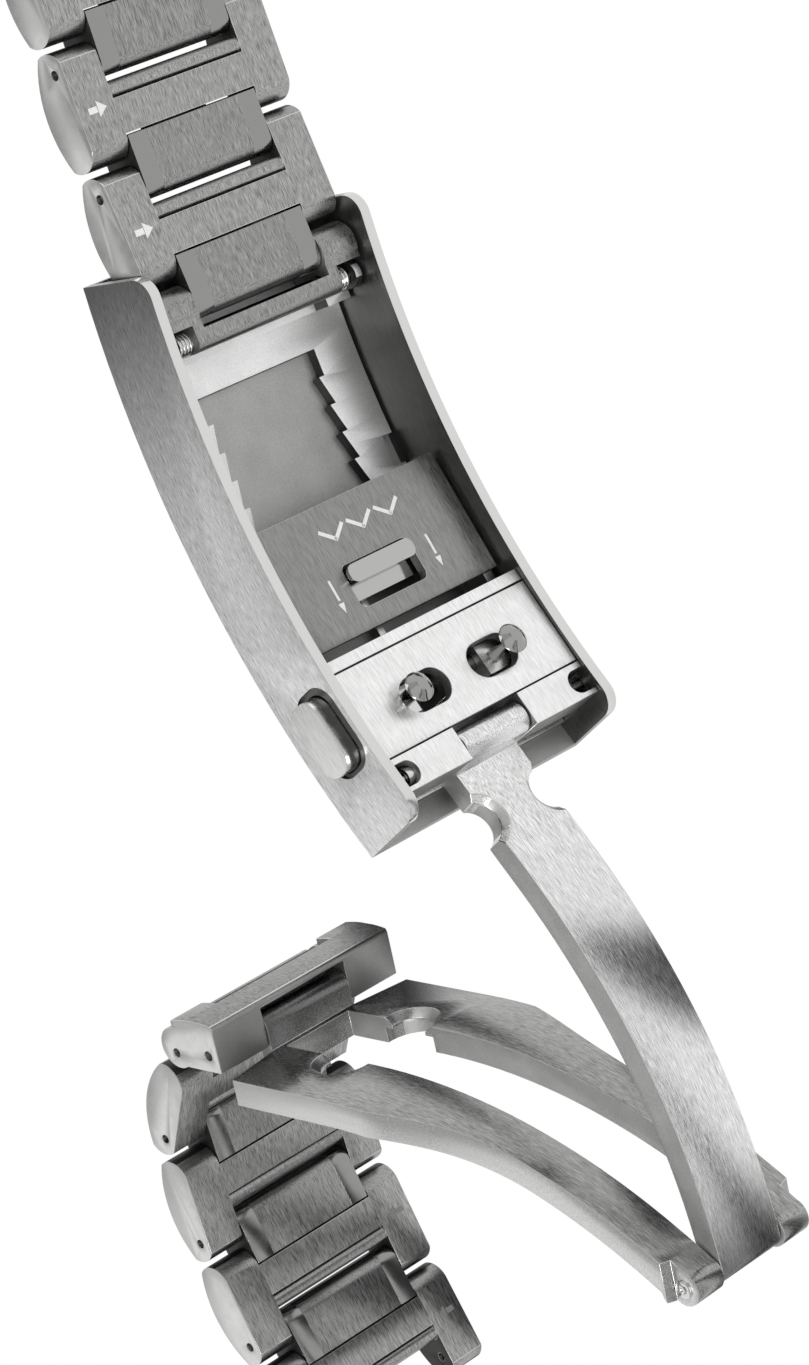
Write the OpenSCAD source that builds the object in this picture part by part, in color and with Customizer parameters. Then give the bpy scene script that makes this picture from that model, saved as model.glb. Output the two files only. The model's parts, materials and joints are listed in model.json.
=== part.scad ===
// Fold-over bracelet clasp, opened, with a few links of its bracelet at both ends.
// Millimetres. The case lies along X, the wrist side is +Y, and Z runs across the bracelet.
// The clasp lies on its far side. Its own frame has the lower corner of the case's open end at 0,0
// and the middle of the bracelet's width at Z = 0. The last lines move that frame to the part's origin.

/* [Bracelet] */
// Width of the bracelet and of both end links
band_w = 18; // [17:0.1:19]
// Distance from one link pin to the next
pitch = 8.45; // [8.2:0.05:9]
// Width of a centre tile
tile_w = 8.3; // [7.5:0.1:9]
// Width of each polished strip beside a tile
strip_w = 1.6; // [1.2:0.1:2]
// Height of a link above its pin, on the wrist side
link_top = 0.98; // [0.9:0.01:1.1]
// Depth of a link below its pin, on the outer side
link_drop = 2.4; // [2:0.05:2.5]
// Radius of the bulge of a link's outer side
link_bulge = 7.4; // [6:0.1:9]
// Radius of a cheek's round ends
cheek_r = 1.6; // [1.4:0.05:1.7]
// Gap between the cheeks of one link and the next
cheek_gap = 0.35; // [0.3:0.05:0.6]
// Radius of a link pin
link_pin_r = 0.3; // [0.25:0.01:0.45]
// Length of a tile, along the bracelet
tile_len = 4.4; // [4:0.1:4.6]
// Length of the flat bridge between a link's cheeks
bridge_len = 2.4; // [2.2:0.05:2.6]
// Radius of the half-round bead beside the bridge
bead_r = 0.62; // [0.5:0.01:0.65]
// Distance of the bead from the link's pin, along the link
bead_u = 2.05; // [2.03:0.01:2.3]
// Gap between a tile group and the cheeks beside it
side_gap = 0.1; // [0.05:0.01:0.15]

/* [Case] */
// Radius of the case's outer face
case_r = 74; // [70:0.5:80]
// Straight length of the case, between its lower corners
case_len = 41.86; // [41.5:0.1:43]
// Thickness of the side walls
wall_t = 0.8; // [0.7:0.05:1.2]
// Thickness of the floor
floor_t = 0.9; // [0.8:0.02:1]
// Height of the side walls at mid-length, outer face to edge
wall_h = 6.6; // [6.4:0.05:7]
// Radius of the walls' long edge
edge_r = 69; // [66:0.5:72]
// Gap between the bracelet's width and each side wall
wall_gap = 0.3; // [0.2:0.02:0.5]
// Depth of the relief in the floor where the links slide in
relief_t = 0.5; // [0.45:0.01:0.6]
// Radius of the walls' rounded corners
corner_r = 1.5; // [1:0.1:1.8]
// Lean of the walls' end at the blade, degrees
lean_a = 12.4; // [8:0.2:16]
// Lean of the walls' end at the bracelet, degrees
lean_b = 15.8; // [10:0.2:18]

/* [Fine adjustment] */
// Thickness of the toothed slider
rack_t = 0.8; // [0.6:0.02:0.9]
// Gap between the slider and the case floor
rack_gap = 0.05; // [0.03:0.01:0.1]
// Half width of the slider's window
window_half = 5.5; // [5.2:0.05:6]
// Depth of a tooth of the slider
tooth_h = 0.5; // [0.3:0.02:0.6]
// Distance from tooth to tooth
tooth_pitch = 2.0; // [1.8:0.05:2.2]
// Where the window starts, behind the lower corner of the case
window_x = 32.2; // [31.8:0.1:32.8]
// Where the slider's two arms end
arm_end_x = 19.4; // [19.2:0.1:20]
// Thickness of the cover over the slider
slide_t = 0.8; // [0.6:0.05:0.9]
// Length of the cover over the slider
slide_len = 9; // [8.5:0.1:9.2]
// Length of the window in that cover
slot_len = 3.15; // [3:0.05:3.5]
// Width of the window in that cover
slot_w = 6.3; // [6.2:0.1:7]
// Length of the slide button's bar
bar_w = 1.3; // [1.1:0.05:1.5]
// Height of the bar above the cover
bar_up = 0.4; // [0.3:0.05:0.6]
// Length of a catch pawl, along the case
pawl_len = 1.6; // [1.4:0.05:1.8]

/* [Latch] */
// Slope of the latch cover, degrees
latch_slope = 11.3; // [10.5:0.1:12]
// Thickness of the latch cover
latch_t = 0.9; // [0.7:0.05:1]
// Length of the latch cover
latch_len = 6.55; // [6.4:0.05:6.7]
// Radius of the round ends of the studs' slots
slot_r = 1.3; // [1.2:0.02:1.4]
// Radius of a stud's shank
stud_r = 0.5; // [0.4:0.02:0.55]
// Radius of a stud's head
stud_head = 1.1; // [1:0.02:1.14]
// Height of a stud above the latch cover
stud_up = 1.7; // [1.65:0.01:1.8]
// Distance of each stud from the middle at rest
stud_z = 4.54; // [4.5:0.02:4.6]
// Length of a side button
pusher_len = 5.4; // [5:0.1:5.6]
// Height of a side button
pusher_h = 3.0; // [2.8:0.05:3.1]
// How far a side button stands out of the wall
pusher_out = 0.8; // [0.78:0.02:1]
// Clearance round a side button in the wall
pusher_gap = 0.1; // [0.05:0.01:0.15]
// Width of the gap between the two ears
ear_gap = 6.3; // [6.2:0.05:6.5]
// Length of the ears, along the case
ear_len = 2.5; // [2.3:0.05:2.6]

/* [Blade and fork] */
// Width of the blade
blade_w = 6.0; // [5.8:0.05:6.1]
// Thickness of the blade
blade_t = 1.8; // [1.6:0.05:2]
// Radius of the blade's convex face
blade_r = 50.46; // [48:0.2:53]
// Radius of the knuckle at the case
knuckle_r = 1.15; // [1.1:0.01:1.2]
// Thickness of the fork
fork_t = 2.0; // [1.9:0.02:2.1]
// Radius of the fork's convex face
fork_r = 50.95; // [49.5:0.1:52.5]
// Width of the fork's slot
fork_slot = 6.3; // [6.25:0.05:6.6]
// Width of the fork where it is pinned to the blade
fork_w1 = 11.5; // [11:0.1:12]
// Width of the fork along its two legs
fork_w2 = 13.2; // [12.6:0.1:14]
// Width of the fork at its wide end
fork_w3 = 17.9; // [17.5:0.05:18]
// Radius of the pin between blade and fork
fork_pin_r = 0.5; // [0.4:0.02:0.6]
// Radius of the spring bars' sleeves
bar_r = 0.72; // [0.65:0.01:0.78]
// Radius of the spring bars' tips
tip_r = 0.34; // [0.3:0.01:0.45]
// Radial running clearance of pins and bars
fit = 0.04; // [0.02:0.005:0.06]
// Width of the lug that holds the lower end link
lug_w = 8.3; // [7.5:0.1:9]

/* [Part] */
// What is built

/* [Hidden] */
$fn = 96;

// Colours
steel = [0.72, 0.72, 0.73];
dark = [0.45, 0.45, 0.47];
bright = [0.85, 0.85, 0.87];

// Case
half = band_w / 2;
chan = half + wall_gap;
outer = chan + wall_t;
cx = -case_len / 2;
cy = sqrt(case_r * case_r - cx * cx);
ey = cy - case_r + wall_h + edge_r;
floor_r = case_r - floor_t;
rack_ro = floor_r - rack_gap;
rack_ri = rack_ro - rack_t;
function arc_y(r, x) = cy - sqrt(r * r - (x - cx) * (x - cx));

// Where a corner circle of radius r sits between a leaning end and the long edge
function lean_dir(a) = [sin(a), cos(a)];
function lean_in(a) = [cos(a), -sin(a)];
function corner_s(p0, u, n) = let (q = p0 + corner_r * n - [cx, ey], b = q * u, k = edge_r + corner_r)
  -b - sqrt(b * b - q * q + k * k);
pa = [0, 0];
ua = lean_dir(-lean_a);
na = -lean_in(-lean_a);
sa = corner_s(pa, ua, na);
ka = pa + corner_r * na + sa * ua;
pb = [-case_len, 0];
ub = lean_dir(lean_b);
nb = lean_in(lean_b);
sb = corner_s(pb, ub, nb);
kb = pb + corner_r * nb + sb * ub;
function edge_foot(k) = [cx, ey] + (k - [cx, ey]) * edge_r / norm(k - [cx, ey]);

// Latch frame: on the latch cover's face, between the studs
latch_x = -8.4;
latch_y = arc_y(case_r, latch_x) + 6.38;
cover_p0 = -3.46;
cover_p1 = cover_p0 + latch_len;
lip_p = cover_p0 - 0.1;
lip_len = 0.87;
ear_p0 = cover_p1 + 0.1;
ear_p1 = ear_p0 + ear_len;
hinge_p = ear_p0 + 1.3;
hinge_q = -1.22;
pusher_p = -0.55;
pusher_q = -latch_t - 0.34 - pusher_h / 2;
carriage_top = pusher_q + pusher_h / 2 - 0.06;
stud_in = 0.75;
function latch_xy(p, q) = [latch_x + p * cos(latch_slope) - q * sin(latch_slope),
  latch_y + p * sin(latch_slope) + q * cos(latch_slope)];
hinge_xy = latch_xy(hinge_p, hinge_q);
bar_hole = bar_r + fit;
tip_hole = tip_r + fit;
pin_hole = link_pin_r + fit;

// Slide cover frame
slide_x = -22.4;
slide_y = arc_y(rack_ri, slide_x) + 2.22 + slide_t;
slide_slope = 4.8;
slot_a = 4.42;

// Blade: its own frame starts at the fork end of the convex face, heading for the case
blade_arc = 33.6;
blade_dir = 161.5;
blade_run = 8.3;
blade_s = blade_r * blade_arc * PI / 180;
blade_end = [blade_r * sin(blade_arc), blade_r - blade_r * cos(blade_arc)];
knuckle_off = 1.5;
knuckle_s = blade_run + 1.2;
function spin(v, a) = [v[0] * cos(a) - v[1] * sin(a), v[0] * sin(a) + v[1] * cos(a)];
knuckle_v = blade_end + spin([knuckle_s, -knuckle_off], blade_arc);
blade_xy = hinge_xy - spin(knuckle_v, blade_dir);
nose_v = [0.05, 1.02];
nose_xy = blade_xy + spin(nose_v, blade_dir);
blade_notch_s = 4.75;

// Fork: its own frame starts at the pinned end of the convex face, heading for the lower end link
fork_dir = 211.8;
fork_arc = 35.8;
fork_end = [fork_r * sin(fork_arc), fork_r - fork_r * cos(fork_arc)];
fork_s = fork_r * fork_arc * PI / 180;
fork_run = 9.25;
fork_nose = [0.29, 1.21];
fork_nose_r = 1.25;
fork_xy = nose_xy - spin(fork_nose, fork_dir);
lug_s = fork_run + 0.5;
lug_h = 1.57;
lug_r = 1.15;
lug_bar = [lug_s + lug_r, -lug_h];
function fork_x(s) = s < fork_s ? -fork_r * sin((fork_s - s) * 180 / PI / fork_r) : s - fork_s;
notch_s = 3.1;
notch_z = 3.4;

// End links: frame at the link pin, u toward the clasp, v toward the wrist
low_dir = fork_dir + fork_arc + 180;
low_bar = [3.51, -0.28];
low_xy = fork_xy + spin(fork_end + spin(lug_bar, fork_arc), fork_dir) - spin([low_bar[0], -low_bar[1]], low_dir);
low_front = low_bar[0] + lug_r - 0.12;
low_drop = 2.8;
top_dir = -8;
top_xy = [4.11 - case_len, arc_y(rack_ri, 4.11 - case_len) + 2.7];
top_front = 3.12;
top_bar = [2.25, -0.42];
top_notch = 1.3;
top_deep = 2.3;

// Links
link_end = pitch - 1.5 - cheek_gap;
group_w = tile_w + 2 * strip_w;
pocket = group_w + 2 * side_gap;
bridge_u = link_end - cheek_r;
bead_v = link_top - bead_r - 0.05;
function step_up(p, a) = p - pitch * [cos(a), sin(a)];
up_a = [-6.5, -11.3, -14];
up1 = step_up(top_xy, up_a[0]);
up2 = step_up(up1, up_a[1]);
up3 = step_up(up2, up_a[2]);
low_a = [131.2, 165, 177.7, 181];
low1 = step_up(low_xy, low_a[0]);
low2 = step_up(low1, low_a[1]);
low3 = step_up(low2, low_a[2]);
low4 = step_up(low3, low_a[3]);

// Part origin, in the clasp's own frame
origin = [-12.423, -17.105, -outer - pusher_out];

module across(w) {
  linear_extrude(height = w, center = true) children();
}

module plan(h) {
  rotate([90, 0, 0]) linear_extrude(height = h, center = true) children();
}

module at(p, a) {
  translate([p[0], p[1], 0]) rotate(a) children();
}

module both_sides() {
  children();
  mirror([0, 0, 1]) children();
}

module rod(r, z0, z1) {
  translate([0, 0, z0]) cylinder(r = r, h = z1 - z0);
}

// Piece of a ring round the case's centre, between two radii
module ring(r1, r0, w) {
  translate([cx, cy, 0]) difference() {
    cylinder(r = r1, h = w, center = true, $fn = 360);
    cylinder(r = r0, h = w + 2, center = true, $fn = 360);
  }
}

module round_rect(l, h, r) {
  union() {
    square([l - 2 * r, h], center = true);
    square([l, h - 2 * r], center = true);
    translate([l / 2 - r, h / 2 - r]) circle(r = r);
    translate([l / 2 - r, r - h / 2]) circle(r = r);
    translate([r - l / 2, h / 2 - r]) circle(r = r);
    translate([r - l / 2, r - h / 2]) circle(r = r);
  }
}

// Curved strip with a straight end, seen from the side
module strap(r, arc, run, t) {
  translate([r * sin(arc), r - r * cos(arc)]) rotate(arc) {
    intersection() {
      translate([0, r]) difference() {
        circle(r = r, $fn = 360);
        circle(r = r - t, $fn = 360);
      }
      translate([0, r]) polygon([[0, 0], [0, -2 * r], -2 * r * [sin(arc), cos(arc)]]);
    }
    square([run, t]);
  }
}

// CASE

module case_side() {
  difference() {
    intersection() {
      translate([cx, cy]) circle(r = case_r, $fn = 360);
      polygon([pb - 6 * ub, pa - 6 * ua, pa + sa * ua, edge_foot(ka), edge_foot(ka) + [0, 3], edge_foot(kb) + [0, 3], edge_foot(kb), pb + sb * ub]);
    }
    translate([cx, ey]) circle(r = edge_r, $fn = 360);
  }
  translate(ka) circle(r = corner_r);
  translate(kb) circle(r = corner_r);
}

module shell() {
  color(steel) difference() {
    across(2 * outer) case_side();
    intersection() {
      translate([cx, cy, 0]) cylinder(r = floor_r, h = 2 * chan, center = true, $fn = 360);
      translate([cx - case_len, -5, -chan]) cube([2 * case_len, 20, 2 * chan]);
    }
    intersection() {
      translate([cx, cy, 0]) cylinder(r = floor_r + relief_t, h = 2 * chan, center = true, $fn = 360);
      translate([cx - case_len, -5, -chan]) cube([case_len / 2 + 6, 20, 2 * chan]);
    }
    both_sides() {
      at([latch_x, latch_y], latch_slope) translate([pusher_p, pusher_q, 0]) {
        translate([0, 0, chan - 1]) linear_extrude(height = wall_t + 2) round_rect(pusher_len + 2 * pusher_gap, pusher_h + 2 * pusher_gap, 1.3);
        translate([0, 0.5, outer - wall_t / 2]) linear_extrude(height = wall_t) round_rect(pusher_len + 0.9, pusher_h + 1.2, 1.6);
      }
      translate([hinge_xy[0], hinge_xy[1], 0]) rod(tip_hole, chan - 0.5, chan + wall_t * 0.75);
    }
  }
}

// LATCH

module in_latch() {
  at([latch_x, latch_y], latch_slope) children();
}

module latch_housing() {
  color(steel) intersection() {
    ring(rack_ro, rack_ri, 0.6);
    translate([pawl_x, -4, -1]) cube([latch_x - 3.5 - pawl_x, 6, 2]);
  }
  color(steel) difference() {
    intersection() {
      in_latch() translate([lip_p - lip_len, -8, -chan + 0.05]) cube([ear_p1 - lip_p + lip_len, 8, 2 * chan - 0.1]);
      translate([cx, cy, 0]) cylinder(r = rack_ro, h = 3 * outer, center = true, $fn = 360);
    }
    intersection() {
      in_latch() {
        difference() {
          translate([lip_p, -8, -outer]) cube([ear_p0 - 0.1 - lip_p + 0.1, 9, 2 * outer]);
          translate([pusher_p - 1.4, -8, -0.5]) cube([2.8, 8 - latch_t - 0.3, 1]);
        }
        translate([ear_p0 - 0.1, -8, -ear_gap / 2]) cube([ear_len + 1, 9, ear_gap]);
        translate([ear_p0 + 0.4, -8, -outer]) cube([ear_len + 1, 5.1, 2 * outer]);
      }
      translate([cx, cy, 0]) cylinder(r = rack_ro - 0.6, h = 3 * outer, center = true, $fn = 360);
    }
    in_latch() translate([hinge_p, hinge_q, 0]) {
      cylinder(r = bar_hole, h = 3 * outer, center = true);
      both_sides() {
        translate([-0.85, -1, chan - 1.0]) cube([1.7, 4, 3]);
        translate([0, 1, chan - 1.0]) rotate([90, 0, 0]) cylinder(r = 0.85, h = 4, center = true);
      }
    }
  }
}

module latch_cover() {
  color(steel) in_latch() difference() {
    translate([cover_p0, -latch_t, 0.05 - chan]) cube([latch_len, latch_t, 2 * chan - 0.1]);
    both_sides() {
      translate([0.15, 0, 0]) {
        translate([0, 0, 1.1 + slot_r]) rotate([90, 0, 0]) cylinder(r = slot_r, h = 4, center = true);
        translate([0, 0, 5.4 - slot_r]) rotate([90, 0, 0]) cylinder(r = slot_r, h = 4, center = true);
        translate([-slot_r, -2, 1.1 + slot_r]) cube([2 * slot_r, 4, 4.3 - 2 * slot_r]);
      }
    }
  }
}

module stud() {
  in_latch() translate([0, 0, stud_z]) rotate([-90, 0, 0]) {
    translate([0, 0, carriage_top]) cylinder(r = stud_r, h = stud_up - 0.68 - carriage_top);
    translate([0, 0, stud_up - 0.68]) cylinder(r1 = stud_r, r2 = stud_head, h = 0.18);
    translate([0, 0, stud_up - 0.5]) cylinder(r1 = stud_head, r2 = 0.42, h = 0.5);
  }
}

module stud_near() {
  color(bright) stud();
}

module stud_far() {
  color(bright) mirror([0, 0, 1]) stud();
}

module pusher() {
  in_latch() translate([pusher_p, pusher_q, 0]) {
    translate([0, 0, outer - wall_t - 0.4]) linear_extrude(height = wall_t + 0.4 + pusher_out) round_rect(pusher_len, pusher_h, 1.25);
    translate([-1.6, 0.06 - pusher_h / 2, stud_z - 1.2]) cube([3.2, pusher_h - 0.12, outer - wall_t - 0.4 - stud_z + 1.2]);
  }
}

module pusher_near() {
  color(steel) pusher();
}

module pusher_far() {
  color(steel) mirror([0, 0, 1]) pusher();
}

module pusher_spring() {
  in_latch() translate([pusher_p, pusher_q, 0]) difference() {
    rod(0.8, 0.5, stud_z - 1.2);
    rod(0.5, 0.4, stud_z - 1.1);
  }
}

module pusher_spring_near() {
  color(dark) pusher_spring();
}

module pusher_spring_far() {
  color(dark) mirror([0, 0, 1]) pusher_spring();
}

module case_bar_sleeve() {
  color(bright) at(hinge_xy, 0) difference() {
    cylinder(r = bar_r, h = 2 * (chan - 1.2), center = true);
    cylinder(r = tip_r + 0.05, h = 2 * chan, center = true);
  }
}

module case_bar_tips() {
  color(bright) at(hinge_xy, 0) both_sides() rod(tip_r, chan - 3.4, chan + wall_t * 0.65);
}

// FINE ADJUSTMENT

module in_slide() {
  at([slide_x, slide_y], slide_slope) children();
}

module slide_cover() {
  color(steel) difference() {
    intersection() {
      in_slide() {
        translate([0, -slide_t, -chan + 0.45]) cube([slide_len, slide_t, 2 * chan - 0.9]);
        both_sides() translate([0.3, -4, chan - 1.2]) cube([slide_len + 0.42, 4 - slide_t, 0.8]);
      }
      translate([cx, cy, 0]) cylinder(r = rack_ri - 0.1, h = 3 * outer, center = true, $fn = 360);
    }
    in_slide() translate([slot_a + slot_len / 2, 0, 0]) plan(4) round_rect(slot_len, slot_w, 0.5);
  }
}

module slide_button() {
  color(bright) in_slide() {
    translate([slot_a + 0.15 + bar_w / 2, bar_up - 1.9, 0]) {
      translate([0, 0.95, 0]) plan(1.9) round_rect(bar_w, slot_w - 0.2, 0.55);
    }
    difference() {
      translate([pawl_pin_p - 2.2, -slide_t - 0.95, -4.2]) cube([5.3, 0.7, 8.4]);
      both_sides() hull() {
        translate([pawl_pin_p, -slide_t - 0.6, pawl_pin_z]) rotate([90, 0, 0]) cylinder(r = 0.36, h = 2, center = true);
        translate([pawl_pin_p - 1.5, -slide_t - 0.6, pawl_pin_z - 0.6]) rotate([90, 0, 0]) cylinder(r = 0.36, h = 2, center = true);
      }
    }
  }
}

pawl_tip = window_half - tooth_h - 0.06;
pawl_x = slide_x + 1.1;
pawl_pin_p = 3.8;
pawl_pin_z = 3.5;

module pawl() {
  intersection() {
    translate([pawl_x, -4, 1.6]) {
      cube([pawl_len, 6, pawl_tip - 1.6]);
      cube([pawl_len + 1.9, 6, pawl_tip - 2]);
    }
    ring(rack_ro - 0.02, rack_ri, 3 * outer);
  }
  intersection() {
    in_slide() translate([pawl_pin_p, -slide_t - 0.3, pawl_pin_z]) rotate([90, 0, 0]) cylinder(r = 0.3, h = 3);
    translate([cx, cy, 0]) cylinder(r = rack_ri + 0.2, h = 3 * outer, center = true, $fn = 360);
  }
}

module pawl_near() {
  color(dark) pawl();
}

module pawl_far() {
  color(dark) mirror([0, 0, 1]) pawl();
}

module pawl_spring() {
  translate([pawl_x + pawl_len / 2, arc_y((rack_ro + rack_ri) / 2, pawl_x + pawl_len / 2), 0]) rod(0.3, 0.3, 1.6);
}

module pawl_spring_near() {
  color(dark) pawl_spring();
}

module pawl_spring_far() {
  color(dark) mirror([0, 0, 1]) pawl_spring();
}

// One saw tooth of the slider's window, as steps inward from the straight edge
module window_plan() {
  n = floor((window_x - 1.9 - arm_end_x) / tooth_pitch) + 1;
  difference() {
    translate([-window_x, -window_half]) square([window_x - arm_end_x + 1, 2 * window_half]);
    for (i = [0 : n], s = [-1, 1]) translate([-window_x + 1.9 + i * tooth_pitch, 0])
      polygon([[0, s * (window_half - tooth_h)], [tooth_pitch - 0.05, s * (window_half + 0.01)], [0, s * (window_half + 0.01)]]);
  }
}

module slider() {
  color(dark) {
    difference() {
      intersection() {
        ring(rack_ro, rack_ri, band_w);
        translate([2.56 - case_len, -5, -half]) cube([case_len - 2.56 - arm_end_x, 12, band_w]);
      }
      plan(30) window_plan();
      translate([-24.9, -5, -half - 1]) cube([2.2, 6, 1.9]);
    }
    both_sides() difference() {
      union() {
        intersection() {
          at(top_xy, top_dir) translate([top_notch + 0.2, -4, half - top_deep + 0.15]) cube([top_front - top_notch + 0.4, 2.5, top_deep - 0.15]);
          translate([cx, cy, 0]) cylinder(r = rack_ri, h = 3 * outer, center = true, $fn = 360);
        }
        at(top_xy, top_dir) translate([top_bar[0], top_bar[1], 0]) {
          rod(bar_r + 0.2, half - 0.55, half);
          translate([-bar_r - 0.2, -2, half - 0.55]) cube([2 * bar_r + 0.4, 2, 0.55]);
        }
      }
      at(top_xy, top_dir) translate([top_bar[0], top_bar[1], 0]) rod(tip_hole, half - 1, half + 1);
    }
  }
}

// LINKS

// Side view of a cheek whose pin is at 0,0 and whose far end is at u = e
module cheek(e, drop) {
  intersection() {
    union() {
      translate([0.1, -0.4]) circle(r = cheek_r);
      translate([e - cheek_r, -0.6]) circle(r = cheek_r);
      translate([0.1, -drop - 1]) square([e - cheek_r - 0.1, drop + 1 + link_top]);
    }
    translate([e * 0.43, link_bulge - drop]) circle(r = link_bulge, $fn = 180);
    translate([-5, -10]) square([20, 10 + link_top]);
  }
}

module link_frame() {
  difference() {
    union() {
      both_sides() translate([0, 0, half - (band_w - pocket) / 2]) linear_extrude(height = (band_w - pocket) / 2) cheek(link_end, link_drop);
      across(pocket + 0.4) {
        intersection() {
          cheek(link_end, link_drop);
          union() {
            translate([bridge_u - bridge_len, -5]) square([bridge_len, 10]);
            translate([bead_u, -5]) square([bridge_u - bead_u, 5 + bead_v]);
            translate([bead_u - 0.5, -5]) square([0.6, 5]);
          }
        }
        translate([bead_u, bead_v]) circle(r = bead_r);
      }
    }
    cylinder(r = pin_hole, h = 2 * band_w, center = true);
    translate([bridge_u - 0.8, -1.7, -2.5]) cube([1, 1.4, 5]);
  }
}

module group_side() {
  l0 = bridge_u + 0.15;
  l1 = l0 + tile_len;
  r = 1.15;
  difference() {
    union() {
      translate([l0, 0.2 - link_drop]) square([l1 - r - l0, link_drop - 0.2 + link_top]);
      translate([l1 - r, 0]) square([r, 0.01 + link_top - r]);
      translate([l1 - r - 0.01, r + 0.4 - link_drop]) square([r + 0.01, link_top + link_drop - 0.4 - 2 * r]);
      translate([l1 - r, link_top - r]) circle(r = r);
      translate([l1 - r, r + 0.2 - link_drop]) circle(r = r);
    }
    translate([pitch, 0]) circle(r = pin_hole);
  }
}

module link_tile() {
  across(tile_w) group_side();
  translate([bridge_u - 0.75, -1.65, -2.45]) cube([0.95, 1.3, 4.9]);
}

module link_strips() {
  both_sides() translate([0, 0, tile_w / 2]) linear_extrude(height = strip_w) group_side();
}

module link_pin() {
  rod(link_pin_r, 0.6 - half, half - 0.6);
}

module on_upper(p, a) {
  at(p, a) children();
}

module on_lower(p, a) {
  at(p, a) mirror([0, 1, 0]) children();
}

// UPPER END

module upper_end_link() {
  color(steel) on_upper(top_xy, top_dir) difference() {
    intersection() {
      across(band_w) union() {
        translate([0.1, -0.4]) circle(r = cheek_r);
        translate([top_front - 0.8, link_top - 0.8]) circle(r = 0.8);
        translate([0.1, -4]) square([top_front - 0.9, 4 + link_top]);
        translate([0.1, -4]) square([top_front - 0.1, 4 + link_top - 0.8]);
      }
      rotate(-top_dir) translate([-top_xy[0], -top_xy[1], 0]) translate([cx, cy, 0]) cylinder(r = rack_ri - 0.1, h = 3 * outer, center = true, $fn = 360);
    }
    translate([-4, -8, -pocket / 2]) cube([4 + tile_len - 2.7, 12, pocket]);
    both_sides() translate([top_notch, -5, half - top_deep]) cube([5, 10, top_deep + 1]);
    cylinder(r = pin_hole, h = 2 * band_w, center = true);
    translate([top_bar[0], top_bar[1], 0]) cylinder(r = bar_hole, h = 2 * band_w, center = true);
  }
}

module upper_bar_sleeve() {
  color(bright) on_upper(top_xy, top_dir) translate([top_bar[0], top_bar[1], 0]) difference() {
    cylinder(r = bar_r, h = 2 * (half - 1.1), center = true);
    cylinder(r = tip_r + 0.05, h = 2 * band_w, center = true);
  }
}

module upper_bar_tips() {
  color(bright) on_upper(top_xy, top_dir) translate([top_bar[0], top_bar[1], 0]) both_sides() rod(tip_r, half - 3.5, half - 0.05);
}

module upper_end_pin() {
  color(bright) on_upper(top_xy, top_dir) link_pin();
}

// BLADE AND FORK

module blade() {
  color(steel) at(blade_xy, blade_dir) difference() {
    union() {
      across(blade_w) difference() {
        strap(blade_r, blade_arc, blade_run, blade_t);
        translate([-1, -1]) square([1 + nose_v[0], 5]);
      }
      translate([nose_v[0], nose_v[1], 0]) cylinder(r = nose_v[1], h = blade_w, center = true);
      at(blade_end, blade_arc) {
        translate([knuckle_s, -knuckle_off, 0]) cylinder(r = knuckle_r, h = blade_w, center = true);
        across(blade_w) polygon([[blade_run - 0.8, 0], [knuckle_s - knuckle_r, 0], [knuckle_s - knuckle_r, -knuckle_off], [knuckle_s + knuckle_r, -knuckle_off],
          [knuckle_s + knuckle_r, blade_t - 1.4], [knuckle_s - 0.2, blade_t], [blade_run - 0.8, blade_t]]);
      }
    }
    translate([nose_v[0], nose_v[1], 0]) cylinder(r = fork_pin_r + fit, h = 2 * blade_w, center = true);
    at(blade_end, blade_arc) {
      translate([knuckle_s, -knuckle_off, 0]) cylinder(r = bar_hole, h = 2 * blade_w, center = true);
      both_sides() translate([blade_notch_s, 0, notch_z]) rotate([-90, 0, 0]) {
        translate([0, 0, -1]) cylinder(r = 1.55, h = blade_t + 2);
        translate([0, 0, -0.001]) cylinder(r1 = 2.05, r2 = 1.55, h = 0.5);
      }
    }
  }
}

module fork_plan() {
  w1 = fork_w1 / 2;
  w2 = fork_w2 / 2;
  w3 = fork_w3 / 2;
  flare_s = 14;
  flare_r = 36;
  flare_a = 15;
  f1 = flare_s + flare_r * sin(flare_a);
  g1 = w2 + flare_r * (1 - cos(flare_a));
  f2 = f1 + (w3 - g1) / tan(flare_a);
  pts = concat([[fork_x(-3), w1], [fork_x(2.1), w1], [fork_x(2.3), w2]],
    [for (i = [0 : 12]) [fork_x(flare_s + flare_r * sin(flare_a * i / 12)), w2 + flare_r * (1 - cos(flare_a * i / 12))]],
    [[fork_x(f2), w3], [fork_run - 0.35, w3], [lug_s - 0.05, lug_w / 2]]);
  n = len(pts);
  polygon(concat(pts, [for (i = [0 : n - 1]) [pts[n - 1 - i][0], -pts[n - 1 - i][1]]]));
}

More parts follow.
